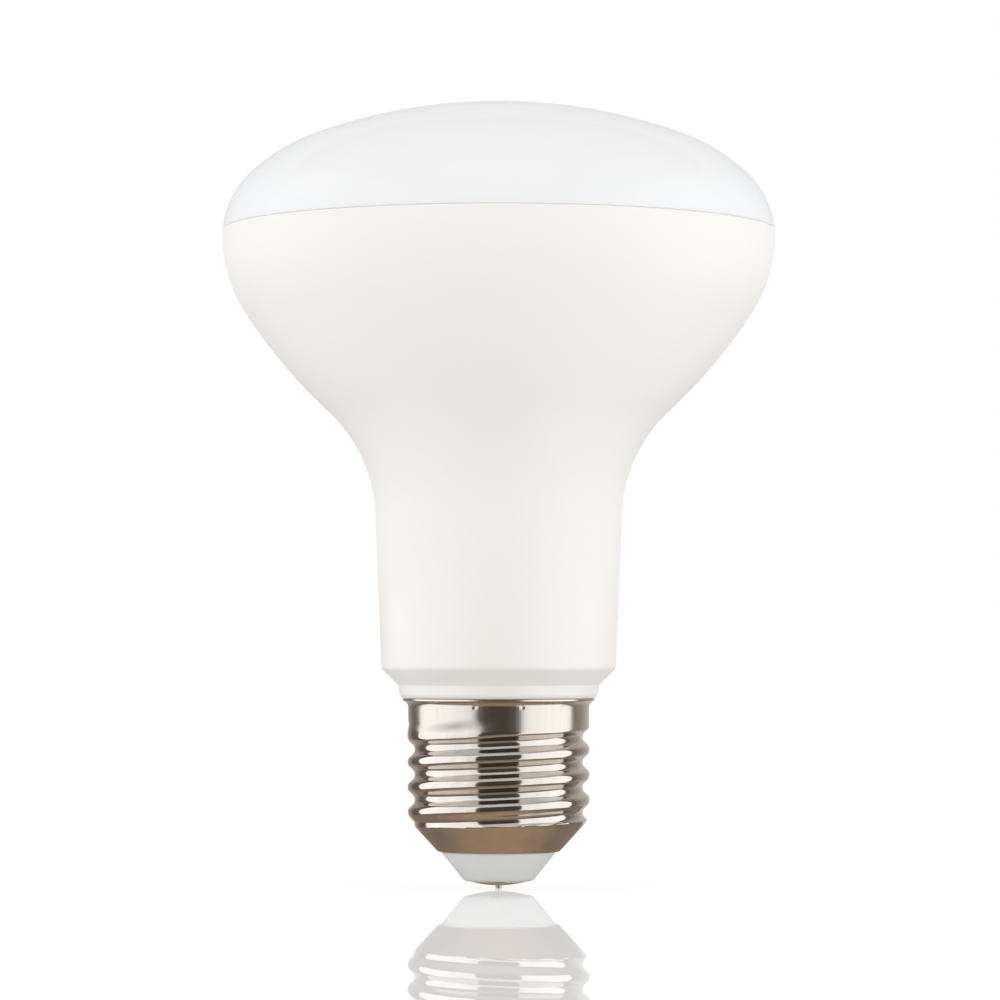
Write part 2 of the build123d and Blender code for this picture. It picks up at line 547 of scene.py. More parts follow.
@dataclass(frozen=True)
class NickelPlate(Finish):
    """Bright nickel on a drawn and rolled shell: drawing marks up the band, rolling marks round the rest."""

    lines: float = 6000.0
    marks: float = 300.0
    roll_depth: float = 0.1
    draw_lines: float = 110.0
    draw_run: float = 90.0
    band_low: float = 22.4 * MM
    band_high: float = 22.9 * MM
    band_smooth: float = 0.17
    band_dull: float = 0.27
    cone_low: float = 8.0 * MM
    cone_high: float = 9.0 * MM
    cone_dull: float = 0.24
    # Painted dark reflection: its colour, strength, middle, size and tilt; a soft patch darkens the plate's
    # colour across the front left of the band.
    painted_reflection_color: Color = (0.27, 0.245, 0.22)
    painted_reflection_weight: float = 0.85
    painted_reflection_place: Vector = Vector((-6.3, -11.4, 23.45)) * MM
    painted_reflection_size: Vector = Vector((5.6, 8.0, 0.95)) * MM
    painted_reflection_turn: float = math.radians(-6.6)

    def shade(self, graph: Graph, shader: bpy.types.Node) -> None:
        """Joins the marks of drawing and rolling, and a painted dark reflection on the band, to the shader.
        """
        shader.inputs["Metallic"].default_value = 1.0
        rolled = self.filled(graph, self.effects.lathe_marks, {"Lines": self.lines})
        handling = self.filled(graph, self.effects.handling, {"Marks": self.marks})
        place = graph.object_place()
        band = self.above(graph, place, self.band_low, self.band_high)
        above_cone = self.above(graph, place, self.cone_low, self.cone_high)
        drawn = self.draw_marks(graph, place)
        mark = graph.field(rolled.outputs["Mark"])
        mixed = mark * self.roll_depth + band * (drawn - mark * self.roll_depth)
        wear = graph.field(handling.outputs["Sheen"])
        self.tint(graph, shader, wear + band * (drawn - wear))
        # Painted dark reflection: darkens the plate's colour in a soft patch across the front left of the
        # band.
        self.cover(graph, shader, self.soft_patch(graph, place), self.painted_reflection_color)
        rolled_sheen = graph.spread(wear, self.smooth, self.dull)
        drawn_sheen = graph.spread(drawn, self.band_smooth, self.band_dull)
        roughness = rolled_sheen + band * (drawn_sheen - rolled_sheen)
        roughness = above_cone * (roughness - self.cone_dull) + self.cone_dull
        graph.join(roughness, shader.inputs["Roughness"])
        self.relief(graph, shader, mixed)

    @staticmethod
    def above(graph: Graph, place: bpy.types.NodeSocket, low: float, high: float) -> Field:
        """Gives 0 under the low height, 1 over the high one, and a ramp between."""
        up = graph.field(graph.add("ShaderNodeSeparateXYZ", {0: place}).outputs[2])
        return ((up - low) / (high - low)).math("MAXIMUM", 0.0).math("MINIMUM", 1.0)

    def soft_patch(self, graph: Graph, place: bpy.types.NodeSocket) -> Field:
        """Gives the mask of a painted dark reflection: a soft patch across the front left of the band that
        darkens the plate's colour.
        """
        inputs = {"Vector": place, "Location": self.painted_reflection_place, "Scale": self.painted_reflection_size}
        inputs["Rotation"] = (0.0, self.painted_reflection_turn, 0.0)
        reach = graph.length(graph.add("ShaderNodeMapping", inputs, vector_type="TEXTURE").outputs[0])
        return (reach * -self.painted_reflection_weight + self.painted_reflection_weight).math("MAXIMUM", 0.0)

    def draw_marks(self, graph: Graph, place: bpy.types.NodeSocket) -> Field:
        """Gives the lines that drawing the shell leaves along its axis."""
        outward = graph.vector("NORMALIZE", {0: graph.from_axis(place)})
        spokes = graph.vector("SCALE", {0: outward, "Scale": self.draw_lines})
        along = graph.vector("MULTIPLY", {0: place, 1: (0.0, 0.0, self.draw_run)})
        course = graph.vector("ADD", {0: spokes, 1: along})
        return graph.noise(course, scale=1.0, detail=2.0)


@dataclass(frozen=True)
class ContactMetal(Finish):
    """Dull plate on the turned contact button."""

    lines: float = 9000.0
    marks: float = 900.0
    solder: Color = (0.8, 0.79, 0.77)
    solder_reach: float = 0.55 * MM

    def shade(self, graph: Graph, shader: bpy.types.Node) -> None:
        """Joins the turning marks, the wear of the plate and the solder on the pip to the shader."""
        shader.inputs["Metallic"].default_value = 1.0
        turned = self.filled(graph, self.effects.lathe_marks, {"Lines": self.lines})
        handling = self.filled(graph, self.effects.handling, {"Marks": self.marks})
        wear = graph.field(handling.outputs["Sheen"])
        self.tint(graph, shader, wear)
        reach = graph.length(graph.from_axis(graph.object_place()))
        self.cover(graph, shader, reach.math("LESS_THAN", self.solder_reach), self.solder)
        self.sheen(graph, shader, wear)
        self.relief(graph, shader, graph.field(turned.outputs["Mark"]))


# Pieces of the bulb


@dataclass
class BulbPiece:
    """A turned piece of the bulb that stands for one node of the frame."""

    name: ClassVar[str]
    node: ClassVar[Node]
    slot: ClassVar[Slot]
    ring: ClassVar[bool] = False

    segments: int = 256
    row: float = 0.6 * MM
    crease: float = 32.0

    def corners(self) -> list[Corner]:
        """Gives the corners of the piece's outline."""
        raise NotImplementedError

    def build(self, finish: Finish) -> bpy.types.Object:
        """Builds the piece, dresses it and puts it in the place of its node.

        Args:
            finish: The piece's finish.

        Returns:
            The finished piece.
        """
        outline = draw_outline(self.corners(), self.row, self.ring)
        piece = turn_outline(self.name, outline, self.segments, self.ring)
        self.dress(piece, finish)
        piece.data.shade_smooth()
        piece.data.set_sharp_from_angle(angle=math.radians(self.crease))
        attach(piece, BODY)
        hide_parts(self.node.value)
        self.report(piece)
        return piece

    def dress(self, piece: bpy.types.Object, finish: Finish) -> None:
        """Gives the piece its material."""
        piece.data.materials.append(finish.material())

    def report(self, piece: bpy.types.Object) -> None:
        """Logs the piece's size and how far its box lies from that of its node."""
        corners = [vertex.co for vertex in piece.data.vertices]
        low = Vector([min(corner[axis] for corner in corners) for axis in range(3)])
        high = Vector([max(corner[axis] for corner in corners) for axis in range(3)])
        node_low, node_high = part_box(self.node.value)
        apart = max((low - node_low).length, (high - node_high).length)
        piece.data.calc_loop_triangles()
        triangles = len(piece.data.loop_triangles)
        log.info("%s: %d triangles, %.3f mm from its node", self.name, triangles, apart / MM)
        if apart > FIT_LIMIT:
            log.warning("%s lies further than %.2f mm from its node", self.name, FIT_LIMIT / MM)


@dataclass
class ScrewShell(BulbPiece):
    """The plated cap: flared lip, plain band with staking marks, rolled right-hand thread and cone."""

    name: ClassVar[str] = "rolled_screw_shell"
    node: ClassVar[Node] = Node.SCREW_SHELL
    slot: ClassVar[Slot] = Slot.NICKEL_PLATE
    ring: ClassVar[bool] = True

    segments: int = 400
    row: float = 0.15 * MM
    inner_row: float = 5.0 * MM
    top: float = 27.3 * MM
    end: float = 5.25 * MM
    lip_thickness: float = 0.3 * MM
    lip_flare: float = 0.8 * MM
    lip_flare_height: float = 0.95 * MM
    lip_edge_bend: float = 0.08 * MM
    band_length: float = 3.15 * MM
    band_step: float = 0.1 * MM
    band_step_height: float = 0.5 * MM
    crest_radius: float = 13.15 * MM
    thread_depth: float = 1.05 * MM
    pitch: float = 3.629 * MM
    flank_angle: float = 46.5
    groove_drop: float = 1.13 * MM
    run_out_turns: float = 0.78
    run_out_ease: float = 1.6
    roll_bend: float = 0.2 * MM
    edge_turn: float = 0.65
    edge_reach: float = 0.1
    edge_climb: float = 6.0 * MM
    edge_top: float = 24.35 * MM
    edge_bottom: float = 21.4 * MM
    edge_width: float = 1.2 * MM
    edge_depth: float = 0.34 * MM
    wall: float = 0.35 * MM
    cone_angle: float = 42.7
    cone_bend: float = 4.0 * MM
    end_radius: float = 8.75 * MM
    end_bend: float = 0.7 * MM
    stakes: int = 12
    stake_drop: float = 1.2 * MM
    stake_ball: float = 0.3 * MM
    stake_depth: float = 0.1 * MM

    def root_radius(self) -> float:
        """Gives the radius at the bottom of the thread."""
        return self.crest_radius - self.thread_depth

    def bore_radius(self) -> float:
        """Gives the radius of the shell's plain bore."""
        return self.root_radius() - self.wall

    def band_radius(self) -> float:
        """Gives the radius of the plain band."""
        return self.crest_radius - self.band_step

    def lip_radius(self) -> float:
        """Gives the radius of the flared lip."""
        return self.band_radius() + self.lip_flare

    def band_top(self) -> float:
        """Gives the height at which the band meets the flare of the lip."""
        return self.top - self.lip_thickness - self.lip_flare_height

    def cone_height(self, radius: float, start: float) -> float:
        """Gives the height at which a cone from a radius at the shell's end reaches another radius."""
        return self.end + (radius - start) / math.tan(math.radians(self.cone_angle))

    def inner_end_radius(self) -> float:
        """Gives the radius of the hole in the shell's end."""
        return self.end_radius - self.wall / math.cos(math.radians(self.cone_angle))

    def bore_end(self) -> float:
        """Gives the height at which the bore meets the inside of the cone."""
        return self.cone_height(self.bore_radius(), self.inner_end_radius())

    def corners(self) -> list[Corner]:
        """Gives the outline of the blank, before the thread is rolled into it."""
        band_end = self.band_top() - self.band_length
        flare_turn = 2 * math.atan2(self.lip_flare, self.lip_flare_height)
        flare_bend = self.lip_flare_height / math.sin(flare_turn)
        flare_start = Vector((self.band_radius(), self.band_top()))
        flare = tangent_arc(flare_start, UP, flare_bend, -math.degrees(flare_turn), self.row)
        return [
            Corner(self.inner_end_radius(), self.end),
            Corner(self.end_radius, self.end, self.end_bend),
            Corner(self.crest_radius, self.cone_height(self.crest_radius, self.end_radius), self.cone_bend),
            Corner(self.crest_radius, band_end - self.band_step_height),
            Corner(self.band_radius(), band_end),
            Corner(*flare_start),
            *(Corner(*point) for point in flare[:-1]),
            Corner(self.lip_radius(), self.top - self.lip_thickness, self.lip_edge_bend),
            Corner(self.lip_radius(), self.top, self.lip_edge_bend),
            Corner(self.bore_radius(), self.top, row=self.inner_row),
            Corner(self.bore_radius(), self.bore_end(), row=self.inner_row),
        ]

    def dress(self, piece: bpy.types.Object, finish: Finish) -> None:
        """Rolls the thread and the staking marks into the blank, and plates it."""
        ThreadRoller(self).roll(piece, finish.material())


class ThreadRoller:
    """The node tree that rolls the thread into a shell's blank and stakes its band."""

    def __init__(self, shell: ScrewShell) -> None:
        """Builds the tree for a shell's sizes.

        Args:
            shell: The shell whose blank is rolled.
        """
        half_pitch = shell.pitch / 2
        flank = math.radians(shell.flank_angle)
        depth = shell.thread_depth
        bend = (half_pitch * math.sin(flank) - depth * math.cos(flank)) / (2 * (1 - math.cos(flank)))
        self.sizes: dict[str, float] = {
            "Pitch": shell.pitch,
            "Root radius": shell.root_radius(),
            "Groove depth": depth,
            "Groove bend": bend,
            "Flank angle": flank,
            "Groove end": shell.band_top() - shell.band_length - shell.groove_drop,
            "Run-out turns": shell.run_out_turns,
            "Run-out ease": shell.run_out_ease,
            "Roll bend": shell.roll_bend,
            "Edge turn": shell.edge_turn,
            "Edge reach": shell.edge_reach,
            "Edge climb": shell.edge_climb,
            "Edge top": shell.edge_top,
            "Edge bottom": shell.edge_bottom,
            "Edge width": shell.edge_width,
            "Edge depth": shell.edge_depth,
            "Stakes": float(shell.stakes),
            "Stake height": shell.top - shell.stake_drop,
            "Stake ball": shell.stake_ball,
            "Stake place": shell.band_radius() + shell.stake_ball - shell.stake_depth,
        }
        self.tree = bpy.data.node_groups.new("roll_thread", "GeometryNodeTree")
        self.graph = Graph(self.tree)
        self.sockets = self.open_sockets()
        self.given = self.graph.add("NodeGroupInput")
        self.join_nodes()

    def open_sockets(self) -> dict[str, str]:
        """Opens the tree's inputs and its output.

        Returns:
            The identifier of each input, by its name.
        """
        interface = self.tree.interface
        kinds = {"Blank": "NodeSocketGeometry", **dict.fromkeys(self.sizes, "NodeSocketFloat")}
        kinds["Plate"] = "NodeSocketMaterial"
        made = {
            name: interface.new_socket(name=name, in_out="INPUT", socket_type=kind).identifier
            for name, kind in kinds.items()
        }
        interface.new_socket(name="Rolled shell", in_out="OUTPUT", socket_type="NodeSocketGeometry")
        return made

    def size(self, name: str) -> Field:
        """Gives one of the tree's inputs as a number."""
        return self.graph.field(self.given.outputs[name])

    def groove(self, turn: Field, height: Field) -> Field:
        """Gives the radius of the thread's groove, which runs out at its upper end.

        Args:
            turn: The azimuth as a share of a turn.
            height: The height above the contact's tip.

        Returns:
            The groove's radius at that place.
        """
        pitch = self.size("Pitch")
        root = self.size("Root radius")
        depth = self.size("Groove depth")
        bend = self.size("Groove bend")
        flank = self.size("Flank angle")
        climb = (height - self.size("Groove end")) / pitch - turn
        coil = (climb + 0.5).math("FLOOR")
        aside = (climb - coil).math("ABSOLUTE") * pitch
        from_crest = pitch / 2.0 - aside
        bend_reach = bend * flank.math("SINE")
        low = root + bend - self.round_height(bend, aside)
        high = root + depth - bend + self.round_height(bend, from_crest)
        flank_start = root + bend - bend * flank.math("COSINE")
        slope = flank_start + (aside - bend_reach) * flank.math("TANGENT")
        radius = slope + aside.math("LESS_THAN", bend_reach) * (low - slope)
        radius = radius + from_crest.math("LESS_THAN", bend_reach) * (high - slope)
        past_end = (coil + turn).math("MAXIMUM", 0.0)
        run_out = self.size("Run-out turns")
        left = (past_end / run_out).math("MINIMUM", 1.0) * -1.0 + 1.0
        lift = (past_end - run_out).math("MAXIMUM", 0.0) * pitch
        return radius + depth - depth * left.math("POWER", self.size("Run-out ease")) + lift

    @staticmethod
    def round_height(bend: Field, aside: Field) -> Field:
        """Gives how high a round stands over its centre, at a distance from its middle."""
        return (bend * bend - aside * aside).math("MAXIMUM", 0.0).math("SQRT")

    def roll_edge(self, turn: Field, height: Field) -> Field:
        """Gives the depth of the soft step that the roller's edge leaves in the band, near the groove's end.

        Args:
            turn: The azimuth as a share of a turn.
            height: The height above the contact's tip.

        Returns:
            The depth of the step at that place.
        """
        aside = turn - self.size("Edge turn")
        share = aside / self.size("Edge reach")
        reach = (share * share * -1.0 + 1.0).math("MAXIMUM", 0.0)
        top = self.size("Edge top") + aside * self.size("Edge climb")
        under = self.eased((top - height) / self.size("Edge width"))
        over = self.eased((height - self.size("Edge bottom")) / self.size("Edge width"))
        return self.size("Edge depth") * reach * under * over

    @staticmethod
    def eased(share: Field) -> Field:
        """Turns a share from 0 to 1 into one that starts and ends gently."""
        held = share.math("MAXIMUM", 0.0).math("MINIMUM", 1.0)
        return held * held * (held * -2.0 + 3.0)

    def stake(self, azimuth: Field, radius: Field, height: Field) -> Field:
        """Gives the radius left by the staking marks.

        Args:
            azimuth: The azimuth in radians.
            radius: The radius before staking.
            height: The height above the contact's tip.

        Returns:
            The radius of the dent's floor, or a large one away from the dents.
        """
        ball = self.size("Stake ball")
        step = self.size("Stakes").math("POWER", -1.0) * math.tau
        aside = ((azimuth / step).math("FRACT") - 0.5) * step
        across = radius * aside.math("SINE")
        up = height - self.size("Stake height")
        depth = ball * ball - across * across - up * up
        floor = self.size("Stake place") - depth.math("MAXIMUM", 0.0).math("SQRT")
        return floor + depth.math("LESS_THAN", 0.0)

    def join_nodes(self) -> None:
        """Joins the whole tree, from the blank to the plated shell."""
        graph = self.graph
        place = graph.add("GeometryNodeInputPosition")
        axes = graph.add("ShaderNodeSeparateXYZ", {0: place.outputs[0]})
        across, deep, up = (graph.field(socket) for socket in axes.outputs)
        blank = (across * across + deep * deep).math("SQRT")
        azimuth = deep.math("ARCTAN2", across)
        turn = (azimuth / math.tau).math("FRACT")
        rolled = blank.math("SMOOTH_MIN", self.groove(turn, up), self.size("Roll bend"))
        outside = blank.math("GREATER_THAN", self.size("Root radius"))
        rolled = rolled - self.roll_edge(turn, up) * outside
        staked = rolled.math("MINIMUM", self.stake(azimuth, rolled, up))
        share = staked / blank
        moved = graph.add("ShaderNodeCombineXYZ", {0: across * share, 1: deep * share, 2: up})
        inputs = {"Geometry": self.given.outputs["Blank"], "Position": moved.outputs[0]}
        shaped = graph.add("GeometryNodeSetPosition", inputs)
        real = graph.add("GeometryNodeRealizeInstances", {0: shaped.outputs[0]})
        inputs = {0: real.outputs[0], "Material": self.given.outputs["Plate"]}
        plated = graph.add("GeometryNodeSetMaterial", inputs)
        graph.add("NodeGroupOutput", {0: plated.outputs[0]})

    def roll(self, blank: bpy.types.Object, plate: bpy.types.Material) -> None:
        """Rolls a blank and leaves it as a plain mesh.

        Args:
            blank: The turned blank, which becomes the shell.
            plate: The material of the plating.
        """
        modifier = blank.modifiers.new("roll_thread", "NODES")
        modifier.node_group = self.tree
        for name, value in self.sizes.items():
            modifier[self.sockets[name]] = value
        modifier[self.sockets["Plate"]] = plate
        evaluated = blank.evaluated_get(bpy.context.evaluated_depsgraph_get())
        rolled = bpy.data.meshes.new_from_object(evaluated)
        blank.modifiers.remove(modifier)
        blank.data = rolled


@dataclass
class Insulator(BulbPiece):
    """The pale cone that fills the shell's end and carries the contact."""

    name: ClassVar[str] = "insulator_cone"
    node: ClassVar[Node] = Node.INSULATOR
    slot: ClassVar[Slot] = Slot.GREY_INSULATION
    ring: ClassVar[bool] = True

    base: float = 1.05 * MM
    top: float = 9.0 * MM
    hole_radius: float = 1.6 * MM
    base_radius: float = 4.95 * MM
    base_bend: float = 1.0 * MM
    waist: float = 5.25 * MM
    waist_radius: float = 8.17 * MM
    land: float = 0.2 * MM
    land_bend: float = 0.08 * MM
    top_radius: float = 11.65 * MM

    def corners(self) -> list[Corner]:
        """Gives the outline of the cone with its hole."""
        return [
            Corner(self.hole_radius, self.base),
            Corner(self.base_radius, self.base, self.base_bend),
            Corner(self.waist_radius, self.waist - self.land, self.land_bend),
            Corner(self.waist_radius, self.waist),
            Corner(self.top_radius, self.top),
            Corner(self.hole_radius, self.top),
        ]


@dataclass
class CentreContact(BulbPiece):
    """The domed button with its pip, and the shank that holds it in the insulator."""

    name: ClassVar[str] = "contact_button"
    node: ClassVar[Node] = Node.CENTRE_CONTACT
    slot: ClassVar[Slot] = Slot.CONTACT_METAL

    segments: int = 128
    row: float = 0.2 * MM
    tip: float = 0.0
    top: float = 9.0 * MM
    seat: float = 1.05 * MM
    button_radius: float = 3.9 * MM
    edge: float = 0.12 * MM
    edge_bend: float = 0.04 * MM
    pip_radius: float = 0.45 * MM
    pip_height: float = 0.4 * MM
    pip_bend: float = 0.08 * MM
    shank_radius: float = 1.5 * MM

    def corners(self) -> list[Corner]:
        """Gives the outline of button, pip and shank."""
        rim = self.seat - self.edge
        crown = self.tip + self.pip_height
        rise = rim - crown
        bend = (self.button_radius**2 + rise**2) / (2 * rise)
        lean = math.degrees(math.asin(self.pip_radius / bend))
        start = Vector((self.pip_radius, crown + bend * (1 - math.cos(math.radians(lean)))))
        turn = math.degrees(math.asin(self.button_radius / bend)) - lean
        dome = tangent_arc(start, lean, bend, turn, self.row)
        return [
            Corner(0.0, self.tip),
            Corner(self.pip_radius, self.tip, self.pip_bend),
            Corner(*start),
            *(Corner(*point) for point in dome[:-1]),
            Corner(self.button_radius, rim, self.edge_bend),
            Corner(self.button_radius, self.seat),
            Corner(self.shank_radius, self.seat),
            Corner(self.shank_radius, self.top),
            Corner(0.0, self.top),
        ]


@dataclass
class Housing(BulbPiece):
    """The moulded body: collar on the shell's lip, chamfered foot, tapered neck, throat, flare and rim."""

    name: ClassVar[str] = "moulded_housing"
    node: ClassVar[Node] = Node.HOUSING
    slot: ClassVar[Slot] = Slot.WHITE_PLASTIC

    base: float = 27.3 * MM
    seam: float = 95.0 * MM
    spigot_end: float = 9.2 * MM
    spigot_radius: float = 11.65 * MM
    collar_radius: float = 14.52 * MM
    collar_height: float = 1.95 * MM
    collar_taper: float = 9.0
    collar_bend: float = 0.9 * MM
    foot_height: float = 2.4 * MM
    foot_bend: float = 1.0 * MM
    neck_radius: float = 17.825 * MM
    neck_length: float = 22.35 * MM
    neck_taper: float = 2.32
    throat_bend: float = 21.4 * MM
    flare_bend: float = 76.0 * MM
    rim_bend: float = 21.1 * MM
    rim_angle: float = 33.3
    rim_above_widest: float = 0.55 * MM
    rim_edge_bend: float = 0.25 * MM
    reflector_radius: float = 40.0 * MM
    mouth_radius: float = 37.89 * MM
    mouth_depth: float = 3.2 * MM

    def flare_slope(self) -> float:
        """Gives the slope at which the throat meets the flare, in degrees."""
        rim = math.cos(math.radians(self.rim_angle))
        span = self.flare_bend * rim + self.rim_bend * (1 - rim)
        span += self.throat_bend * math.cos(math.radians(self.neck_taper))
        reach = self.neck_radius - self.reflector_radius + span
        return math.degrees(math.acos(reach / (self.flare_bend + self.throat_bend)))

    def corners(self) -> list[Corner]:
        """Gives the outline of the body from its spigot up to the seam and into the mouth."""
        collar_top = self.base + self.collar_height
        collar_foot = self.collar_radius - self.collar_height * math.tan(math.radians(self.collar_taper))
        foot = collar_top + self.foot_height
        foot_radius = self.neck_radius - self.neck_length * math.tan(math.radians(self.neck_taper))
        slope = self.flare_slope()
        seam_lean = math.degrees(math.asin(self.rim_above_widest / self.rim_bend))
        neck_top = Vector((self.neck_radius, foot + self.neck_length))
        throat_turn = self.neck_taper - slope
        throat = tangent_arc(neck_top, UP - self.neck_taper, self.throat_bend, throat_turn, self.row)
        flare = tangent_arc(throat[-1], UP - slope, self.flare_bend, slope - self.rim_angle, self.row)
        rim_turn = self.rim_angle + seam_lean
        rim = tangent_arc(flare[-1], UP - self.rim_angle, self.rim_bend, rim_turn, self.row)
        floor = self.seam - self.mouth_depth
        return [
            Corner(0.0, self.spigot_end),
            Corner(self.spigot_radius, self.spigot_end),
            Corner(self.spigot_radius, self.base),
            Corner(collar_foot, self.base, self.collar_bend),
            Corner(self.collar_radius, collar_top),
            Corner(foot_radius, foot, self.foot_bend),
            Corner(*neck_top),
            *(Corner(*point) for point in throat + flare + rim[:-1]),
            Corner(*rim[-1], self.rim_edge_bend),
            Corner(self.mouth_radius, self.seam),
            Corner(self.mouth_radius, floor),
            Corner(0.0, floor),
        ]


@dataclass
class Diffuser(BulbPiece):
    """The opal dome, whose spigot sits in the housing's mouth."""

    name: ClassVar[str] = "opal_dome"
    node: ClassVar[Node] = Node.DIFFUSER
    slot: ClassVar[Slot] = Slot.OPAL_PLASTIC

    seam: float = 95.0 * MM
    spigot_end: float = 92.0 * MM
    spigot_radius: float = 37.79 * MM
    base_radius: float = 39.93 * MM
    base_bend: float = 0.2 * MM
    start_angle: float = 4.6
    shoulder_bend: float = 12.2 * MM
    shoulder_angle: float = 45.8
    crown_edge_bend: float = 25.5 * MM
    crown_edge_angle: float = 69.4

    def corners(self) -> list[Corner]:
        """Gives the outline of the dome from its spigot to its top."""
        base = Vector((self.base_radius, self.seam))
        shoulder_turn = self.shoulder_angle - self.start_angle
        shoulder = tangent_arc(base, UP + self.start_angle, self.shoulder_bend, shoulder_turn, self.row)
        edge_turn = self.crown_edge_angle - self.shoulder_angle
        edge = tangent_arc(shoulder[-1], UP + self.shoulder_angle, self.crown_edge_bend, edge_turn, self.row)
        crown_bend = edge[-1].x / math.cos(math.radians(self.crown_edge_angle))
        crown_turn = UP - self.crown_edge_angle
        crown = tangent_arc(edge[-1], UP + self.crown_edge_angle, crown_bend, crown_turn, self.row)
        return [
            Corner(0.0, self.spigot_end),
            Corner(self.spigot_radius, self.spigot_end),
            Corner(self.spigot_radius, self.seam),
            Corner(*base, self.base_bend),
            *(Corner(*point) for point in shoulder + edge + crown[:-1]),
            Corner(0.0, crown[-1].y),
        ]


# Studio


def eye_rays(graph: Graph) -> Field:
    """Gives 1 for the rays that see the background: those of the camera, of gloss and of transmission."""
    path = graph.add("ShaderNodeLightPath")
    seen = graph.field(path.outputs["Is Camera Ray"])
    for name in ("Is Glossy Ray", "Is Transmission Ray"):
        seen = seen.math("MAXIMUM", graph.field(path.outputs[name]))
    return seen


@dataclass
class StudioWorld:
    """The white background, and the soft light that comes from everywhere."""

    ambient: float = 1.0
    ambient_color: Color = (1.0, 0.99, 0.975)

    def build(self) -> None:
        """Builds the world."""
        world = bpy.data.worlds.new("studio")
        world.use_nodes = True
        world.node_tree.nodes.clear()
        graph = Graph(world.node_tree)
        color = (*self.ambient_color, 1.0)
        light = graph.add("ShaderNodeBackground", {"Color": color, "Strength": self.ambient})
        backdrop = graph.add("ShaderNodeBackground", {"Color": WHITE, "Strength": 1.0})
        mixed = graph.mix(eye_rays(graph), light, backdrop)
        graph.add("ShaderNodeOutputWorld", {"Surface": mixed.outputs[0]})
        bpy.context.scene.world = world


@dataclass
class StudioFloor:
    """The pale polished floor, which mirrors the cap faintly."""

    radius: float = 4.0
    sunk: float = 0.02 * MM
    color: Color = (0.66, 0.66, 0.66)
    white_share: float = 0.75
    white_level: float = 1.125
    polish: float = 0.62
    polish_ior: float = 1.45

    def build(self) -> None:
        """Builds the floor, which glossy rays don't see."""
        rim = disc_rim(self.radius)
        floor = add_mesh("studio_floor", ([(*point, -self.sunk) for point in rim], [range(len(rim))]))
        floor.data.materials.append(self.material())
        floor.visible_glossy = False

    def material(self) -> bpy.types.Material:
        """Makes the floor's material.

        Returns:
            A pale matt floor under a thin polish, white to the eye and shaded by what stands on it.
        """
        material, graph = start_material("studio_floor")
        matt = graph.add("ShaderNodeBsdfDiffuse", {"Color": (*self.color, 1.0)})
        white = graph.add("ShaderNodeEmission", {"Color": WHITE, "Strength": self.white_level})
        pale = graph.mix(eye_rays(graph) * self.white_share, matt, white)
        gloss = graph.add("ShaderNodeBsdfGlossy", {"Color": WHITE, "Roughness": 0.0})
        glancing = graph.add("ShaderNodeFresnel", {"IOR": self.polish_ior}).outputs[0]
        whole = graph.mix(graph.field(glancing) * self.polish, pale, gloss)
        graph.add("ShaderNodeOutputMaterial", {"Surface": whole.outputs[0]})
        return material


@dataclass
class Softbox:
    """A tall soft light beside the bulb, a pale board at its foot, and a bright face that metal mirrors."""

    side: Side
    distance: float = 0.25
    front: float = 0.46
    back: float = 0.085
    top: float = 0.355
    brightness: float = 0.26
    light_color: Color = (0.93, 1.0, 1.1)
    face_color: Color = (0.9, 0.9, 0.905)
    board_start: float = 0.07
    board_height: float = 1.0 * MM
    board_brightness: float = 0.54

    def build(self) -> None:
        """Builds the light, the board and the face."""
        depth = self.front + self.back
        middle = (self.back - self.front) / 2
        quarter = math.pi / 2
        upright = (quarter, 0.0, quarter * self.side.value)
        place = (self.side.value * self.distance, middle, self.top / 2)
        self.lamp("softbox", place, upright, (depth, self.top), self.brightness)
        reach = self.distance - self.board_start
        lying = (math.pi, 0.0, 0.0)
        place = (self.side.value * (self.board_start + reach / 2), middle, self.board_height)
        self.lamp("board", place, lying, (reach, depth), self.board_brightness)
        line = [(self.side.value * self.distance, end) for end in (-self.front, self.back)]
        Screen(f"{self.side.name.lower()}_face", self.face_color, line, 0.0, self.top).build()

    def lamp(
        self, name: str, place: Sequence[float], turn: Sequence[float], size: Point, brightness: float
    ) -> None:
        """Builds a soft rectangular light, which shows only by the light that it throws.

        Args:
            name: What the light stands for.
            place: Its middle.
            turn: Its rotation.
            size: Its two sides.
            brightness: The brightness of its face, where 1 is white.
        """
        lamp = bpy.data.lights.new(f"{name}_{self.side.name.lower()}", "AREA")
        lamp.shape = "RECTANGLE"
        lamp.size, lamp.size_y = size
        lamp.color = self.light_color
        lamp.energy = brightness * math.pi * size[0] * size[1]
        light = bpy.data.objects.new(lamp.name, lamp)
        light.location = place
        light.rotation_euler = turn
        light.visible_camera = False
        light.visible_glossy = False
        bpy.context.scene.collection.objects.link(light)


@dataclass
class Card:
    """A card that the bulb mirrors: camera and floor don't see it, and it throws no light and no shade."""

    name: str
    color: Color

    def shape(self) -> Shape:
        """Gives the card's vertices and faces."""
        raise NotImplementedError

    def build(self) -> None:
        """Builds the card, hidden from the camera, from diffuse rays and from shadows."""
        card = add_mesh(self.name, self.shape())
        card.data.materials.append(self.material())
        card.visible_camera = False
        card.visible_diffuse = False
        card.visible_shadow = False

    def material(self) -> bpy.types.Material:
        """Makes a material that shows its colour in any light, but not in a perfect mirror like the floor.

        Returns:
            The new material.
        """
        material, graph = start_material(self.name)
        material.cycles.emission_sampling = "NONE"
        face = graph.add("ShaderNodeEmission", {"Color": (*self.color, 1.0), "Strength": 1.0})
        clear = graph.add("ShaderNodeBsdfTransparent")
        mirrored = graph.add("ShaderNodeLightPath").outputs["Is Singular Ray"]
        whole = graph.mix(mirrored, face, clear)
        graph.add("ShaderNodeOutputMaterial", {"Surface": whole.outputs[0]})
        return material


